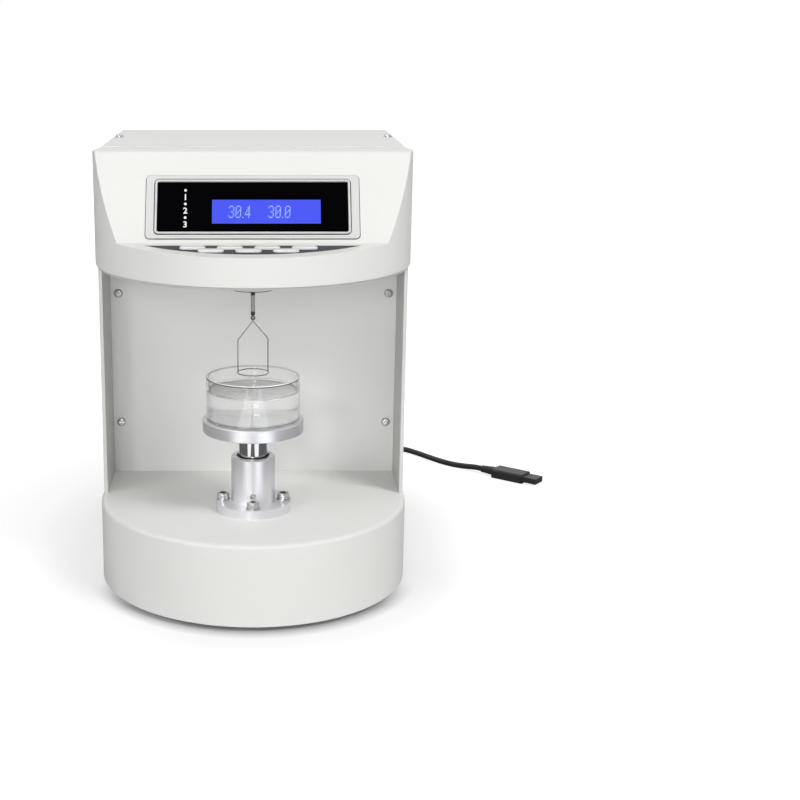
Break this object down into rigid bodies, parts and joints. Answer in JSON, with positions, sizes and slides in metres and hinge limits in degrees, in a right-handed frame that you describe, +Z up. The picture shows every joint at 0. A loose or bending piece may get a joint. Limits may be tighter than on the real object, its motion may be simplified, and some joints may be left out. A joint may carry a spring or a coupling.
{
  "type": "ring method surface tensiometer",
  "caption": "Bench tensiometer with a D-shaped base, an open chamber with a screw-driven lifting stage, and a head with display, keys and a balance holding a wire ring.",
  "frame": {"origin": "on the table, at the middle of the instrument's footprint without its data cord", "axes": "+Z up, +Y towards the instrument's back, +X to the right seen from the front"},
  "size_m": [0.3307, 0.3842, 0.2813],
  "materials": {
    "white_paint": "satin powder coat",
    "inner_paint": "satin powder coat",
    "white_plastic": "satin",
    "plate_steel": "plain zinc plated",
    "foot_rubber": "matt",
    "screw_steel": "bright",
    "window_black": "gloss",
    "screen_blue": "lit display behind gloss",
    "lamp_clear": "clear resin",
    "board_green": "solder mask",
    "bed_grey": "matt",
    "key_silver": "satin metallic lacquer",
    "turned_aluminium": "fine turned",
    "bush_bronze": "plain",
    "coil_copper": "enamelled wire",
    "magnet_black": "black plated",
    "rod_chrome": "polished",
    "ring_platinum": "polished",
    "belt_black": "matt",
    "motor_black": "laminated, black ends",
    "dish_glass": "clear",
    "socket_steel": "tinned",
    "black_plastic": "satin",
    "cord_black": "satin jacket"
  },
  "bodies": {
    "chassis": {"base_cover": "white_paint", "base_plate": "plate_steel", "rubber_feet": "foot_rubber", "side_panel_left": "white_paint", "side_panel_right": "white_paint", "chamber_wall": "inner_paint", "wall_screws": "screw_steel", "head_shell": "white_paint", "head_floor": "inner_paint", "top_cover": "white_paint", "rear_panel": "white_paint", "cover_screws": "screw_steel", "display_bezel": "white_plastic", "display_window": "window_black", "lcd_module": "screen_blue", "display_board": "board_green", "indicator_leds": "lamp_clear", "keypad_bed": "bed_grey", "key_board": "board_green", "hook_collar": "white_plastic", "balance_frame": "turned_aluminium", "magnet": "magnet_black", "stage_sleeve": "turned_aluminium", "guide_bush": "bush_bronze", "flange_screws": "screw_steel", "key_screw": "screw_steel", "screw_bearing": "plate_steel", "drive_belt": "belt_black", "stepper_motor": "motor_black", "motor_bracket": "plate_steel", "main_board": "board_green", "power_supply": "board_green", "mains_inlet": "black_plastic", "data_socket": "socket_steel", "rear_plug": "black_plastic", "cord_rear": "cord_black", "cord_coil": "cord_black", "cord_front": "cord_black", "front_plug": "black_plastic"},
    "lift": {"lift_rod": "rod_chrome", "platform": "turned_aluminium", "lead_nut": "bush_bronze"},
    "dish": {"sample_dish": "dish_glass"},
    "screw": {"lead_screw": "screw_steel", "screw_pulley": "turned_aluminium"},
    "motor_rotor": {"motor_pulley": "turned_aluminium"},
    "beam": {"balance_beam": "turned_aluminium", "beam_pivot": "screw_steel", "voice_coil": "coil_copper", "counterweight": "bush_bronze"},
    "hanger": {"hanger_rod": "rod_chrome"},
    "ring": {"platinum_ring": "ring_platinum"},
    "rocker": {"power_rocker": "black_plastic"},
    "key_body_1": {"key_1": "key_silver"},
    "key_body_2": {"key_2": "key_silver"},
    "key_body_3": {"key_3": "key_silver"},
    "key_body_4": {"key_4": "key_silver"},
    "key_body_5": {"key_5": "key_silver"},
    "key_body_6": {"key_6": "key_silver"},
    "key_body_7": {"key_7": "key_silver"}
  },
  "joints": [
    {"name": "stage_lift", "type": "slide", "parent": "chassis", "child": "lift", "axis": [0, 0, 1], "range_m": [-0.014, 0.02]},
    {"name": "dish_slide", "type": "slide", "parent": "lift", "child": "dish", "axis": [0, -1, 0], "range_m": [0, 0.12]},
    {"name": "screw_spin", "type": "hinge", "parent": "chassis", "child": "screw", "pos_m": [0, -0.07661, 0.03], "axis": [0, 0, 1], "range_deg": [-1840, 1300]},
    {"name": "motor_spin", "type": "hinge", "parent": "chassis", "child": "motor_rotor", "pos_m": [0, -0.01661, 0.02], "axis": [0, 0, 1], "range_deg": [-1840, 1300]},
    {"name": "beam_tilt", "type": "hinge", "parent": "chassis", "child": "beam", "pos_m": [0, -0.02711, 0.2406], "axis": [1, 0, 0], "range_deg": [-1.2, 1.2], "stiffness_Nm_per_rad": 2},
    {"name": "hanger_swing", "type": "hinge", "parent": "beam", "child": "hanger", "pos_m": [0, -0.07661, 0.2406], "axis": [1, 0, 0], "range_deg": [-4, 4]},
    {"name": "ring_swing", "type": "hinge", "parent": "hanger", "child": "ring", "pos_m": [0, -0.07661, 0.1783], "axis": [1, 0, 0], "range_deg": [-10, 10]},
    {"name": "power_rock", "type": "hinge", "parent": "chassis", "child": "rocker", "pos_m": [0.0695, 0.14359, 0.028], "axis": [1, 0, 0], "range_deg": [-20, 0]},
    {"name": "key_1_press", "type": "slide", "parent": "chassis", "child": "key_body_1", "axis": [0, 0.0628, -0.998], "range_m": [0, 0.0008], "stiffness_N_per_m": 200, "springref_m": -0.0005},
    {"name": "key_2_press", "type": "slide", "parent": "chassis", "child": "key_body_2", "axis": [0, 0.0628, -0.998], "range_m": [0, 0.0008], "stiffness_N_per_m": 200, "springref_m": -0.0005},
    {"name": "key_3_press", "type": "slide", "parent": "chassis", "child": "key_body_3", "axis": [0, 0.0628, -0.998], "range_m": [0, 0.0008], "stiffness_N_per_m": 200, "springref_m": -0.0005},
    {"name": "key_4_press", "type": "slide", "parent": "chassis", "child": "key_body_4", "axis": [0, 0.0628, -0.998], "range_m": [0, 0.0008], "stiffness_N_per_m": 200, "springref_m": -0.0005},
    {"name": "key_5_press", "type": "slide", "parent": "chassis", "child": "key_body_5", "axis": [0, 0.0628, -0.998], "range_m": [0, 0.0008], "stiffness_N_per_m": 200, "springref_m": -0.0005},
    {"name": "key_6_press", "type": "slide", "parent": "chassis", "child": "key_body_6", "axis": [0, 0.0628, -0.998], "range_m": [0, 0.0008], "stiffness_N_per_m": 200, "springref_m": -0.0005},
    {"name": "key_7_press", "type": "slide", "parent": "chassis", "child": "key_body_7", "axis": [0, 0.0628, -0.998], "range_m": [0, 0.0008], "stiffness_N_per_m": 200, "springref_m": -0.0005}
  ],
  "couplings": [
    {"joint": "screw_spin", "follows": "stage_lift", "rad_per_m": -1570.8},
    {"joint": "motor_spin", "follows": "stage_lift", "rad_per_m": -1570.8}
  ]
}
